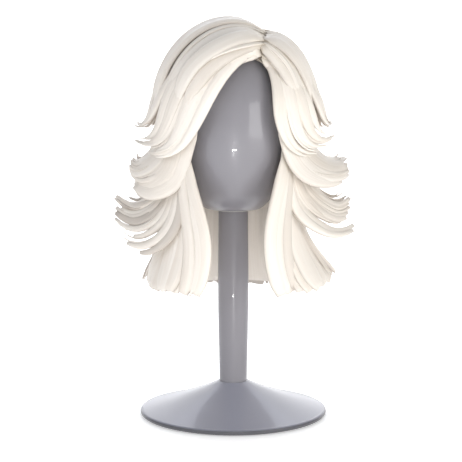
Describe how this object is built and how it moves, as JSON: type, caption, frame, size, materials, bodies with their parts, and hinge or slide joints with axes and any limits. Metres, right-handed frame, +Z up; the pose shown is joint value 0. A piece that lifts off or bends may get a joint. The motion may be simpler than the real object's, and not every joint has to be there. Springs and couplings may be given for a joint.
{
  "type": "costume wig on display stand",
  "caption": "Shoulder-length pale wig with a side parting and flicked layers, worn by a faceless egg-shaped display head on a post with a round foot.",
  "frame": {"origin": "centre of the foot's underside, on the table", "axes": "+Z up the post through the head, -Y the way the open face looks, +X the wearer's left"},
  "size_m": [0.316, 0.2919, 0.5287],
  "materials": {
    "stand_plastic": "smooth gloss grey",
    "weight_steel": "matt black",
    "fixing_steel": "zinc plated",
    "bearing_plastic": "natural, smooth",
    "felt": "dark needle felt",
    "stay_metal": "bright",
    "hook_plastic": "beige",
    "parting_skin": "fine pale skin-like lining",
    "label": "satin, blank",
    "hair": "pale cream fibre, soft sheen",
    "cap_band": "beige lining",
    "strap_elastic": "woven elastic",
    "cap_lace": "open lace"
  },
  "bodies": {
    "stand": {"base_cover": "stand_plastic", "base_shell": "stand_plastic", "base_weight": "weight_steel", "cover_screws": "fixing_steel", "felt_pad": "felt", "neck_plug": "bearing_plastic", "post_tube": "stand_plastic", "spigot_screw": "fixing_steel", "spigot_washer": "fixing_steel", "swivel_washer": "bearing_plastic", "tie_rod": "fixing_steel", "tie_rod_nut": "fixing_steel", "tie_rod_washer": "fixing_steel"},
    "head": {"head_shell": "stand_plastic", "head_floor": "stand_plastic", "head_bush": "bearing_plastic"},
    "wig": {"care_label": "label", "crown_net": "cap_lace", "ear_stay_left": "stay_metal", "ear_stay_right": "stay_metal", "ear_tab_left": "cap_band", "ear_tab_right": "cap_band", "elastic_ribs": "cap_lace", "front_band": "cap_band", "hair_back_lower": "hair", "hair_back_middle": "hair", "hair_back_nape": "hair", "hair_back_upper": "hair", "hair_crown_left": "hair", "hair_crown_right": "hair", "hair_curtain_left": "hair", "hair_curtain_right": "hair", "hair_fan_left": "hair", "hair_fan_right": "hair", "hair_flip_left": "hair", "hair_flip_right": "hair", "hair_fringe_left": "hair", "hair_fringe_right": "hair", "hair_length_left": "hair", "hair_length_right": "hair", "hair_wing_left": "hair", "hair_wing_right": "hair", "hook_loops_left": "cap_band", "hook_loops_right": "cap_band", "nape_band": "cap_band", "parting_skin": "parting_skin", "strap_casing_left": "cap_band", "strap_casing_right": "cap_band", "weft_track_1": "cap_band", "weft_track_2": "cap_band", "weft_track_3": "cap_band", "weft_track_4": "cap_band", "weft_track_5": "cap_band"},
    "adjuster_left": {"adjuster_hook_left": "hook_plastic", "adjuster_strap_left": "strap_elastic"},
    "adjuster_right": {"adjuster_hook_right": "hook_plastic", "adjuster_strap_right": "strap_elastic"}
  },
  "joints": [
    {"name": "head_swivel", "type": "hinge", "parent": "stand", "child": "head", "pos_m": [0, 0, 0.2757], "axis": [0, 0, 1], "continuous": true},
    {"name": "wig_lift", "type": "slide", "parent": "head", "child": "wig", "axis": [0, 0, 1], "range_m": [0, 0.34]},
    {"name": "strap_adjust_left", "type": "hinge", "parent": "wig", "child": "adjuster_left", "pos_m": [0, 0.02577, 0.3527], "axis": [0, 0, 1], "range_deg": [0, 7.72]},
    {"name": "strap_adjust_right", "type": "hinge", "parent": "wig", "child": "adjuster_right", "pos_m": [0, 0.02577, 0.3527], "axis": [0, 0, -1], "range_deg": [0, 7.72]}
  ]
}
